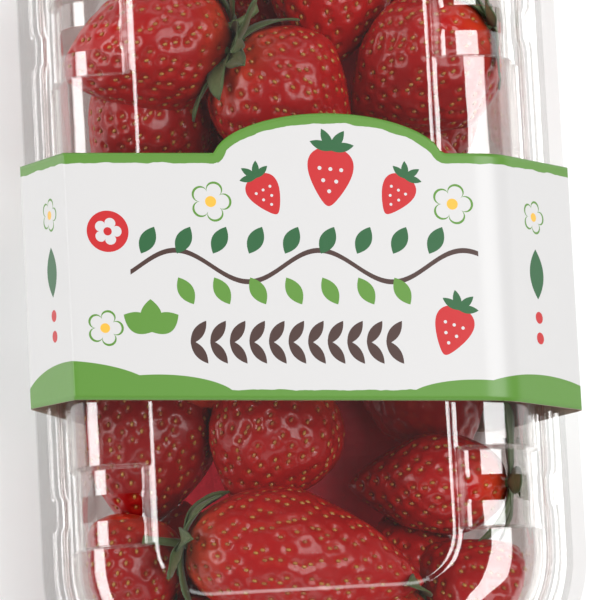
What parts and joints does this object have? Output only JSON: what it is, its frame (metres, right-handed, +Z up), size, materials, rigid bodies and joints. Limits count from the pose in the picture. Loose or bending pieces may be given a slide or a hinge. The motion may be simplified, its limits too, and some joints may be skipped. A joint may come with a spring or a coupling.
{
  "type": "punnet of strawberries",
  "caption": "Shut clear clamshell punnet of strawberries: tapered tray, domed lid with vent notches, liner pad and a card sleeve round the middle.",
  "frame": {"origin": "centre of the bounding box on the surface that the pack stands on", "axes": "+Z up through the lid, +Y along the pack's length, +X across it towards the hinge strip"},
  "size_m": [0.1206, 0.192, 0.0748],
  "materials": {
    "clear_tray": "clear thin plastic, smooth",
    "clear_lid": "clear thin plastic, smooth",
    "card": "coated white card, printed, low gloss",
    "pad": "crimson absorbent pad, softly embossed",
    "fruit": "moist ripe berry skin with seeds"
  },
  "bodies": {
    "root": {"tray": "clear_tray", "lid": "clear_lid", "sleeve": "card", "liner_pad": "pad", "strawberries": "fruit"}
  },
  "joints": []
}
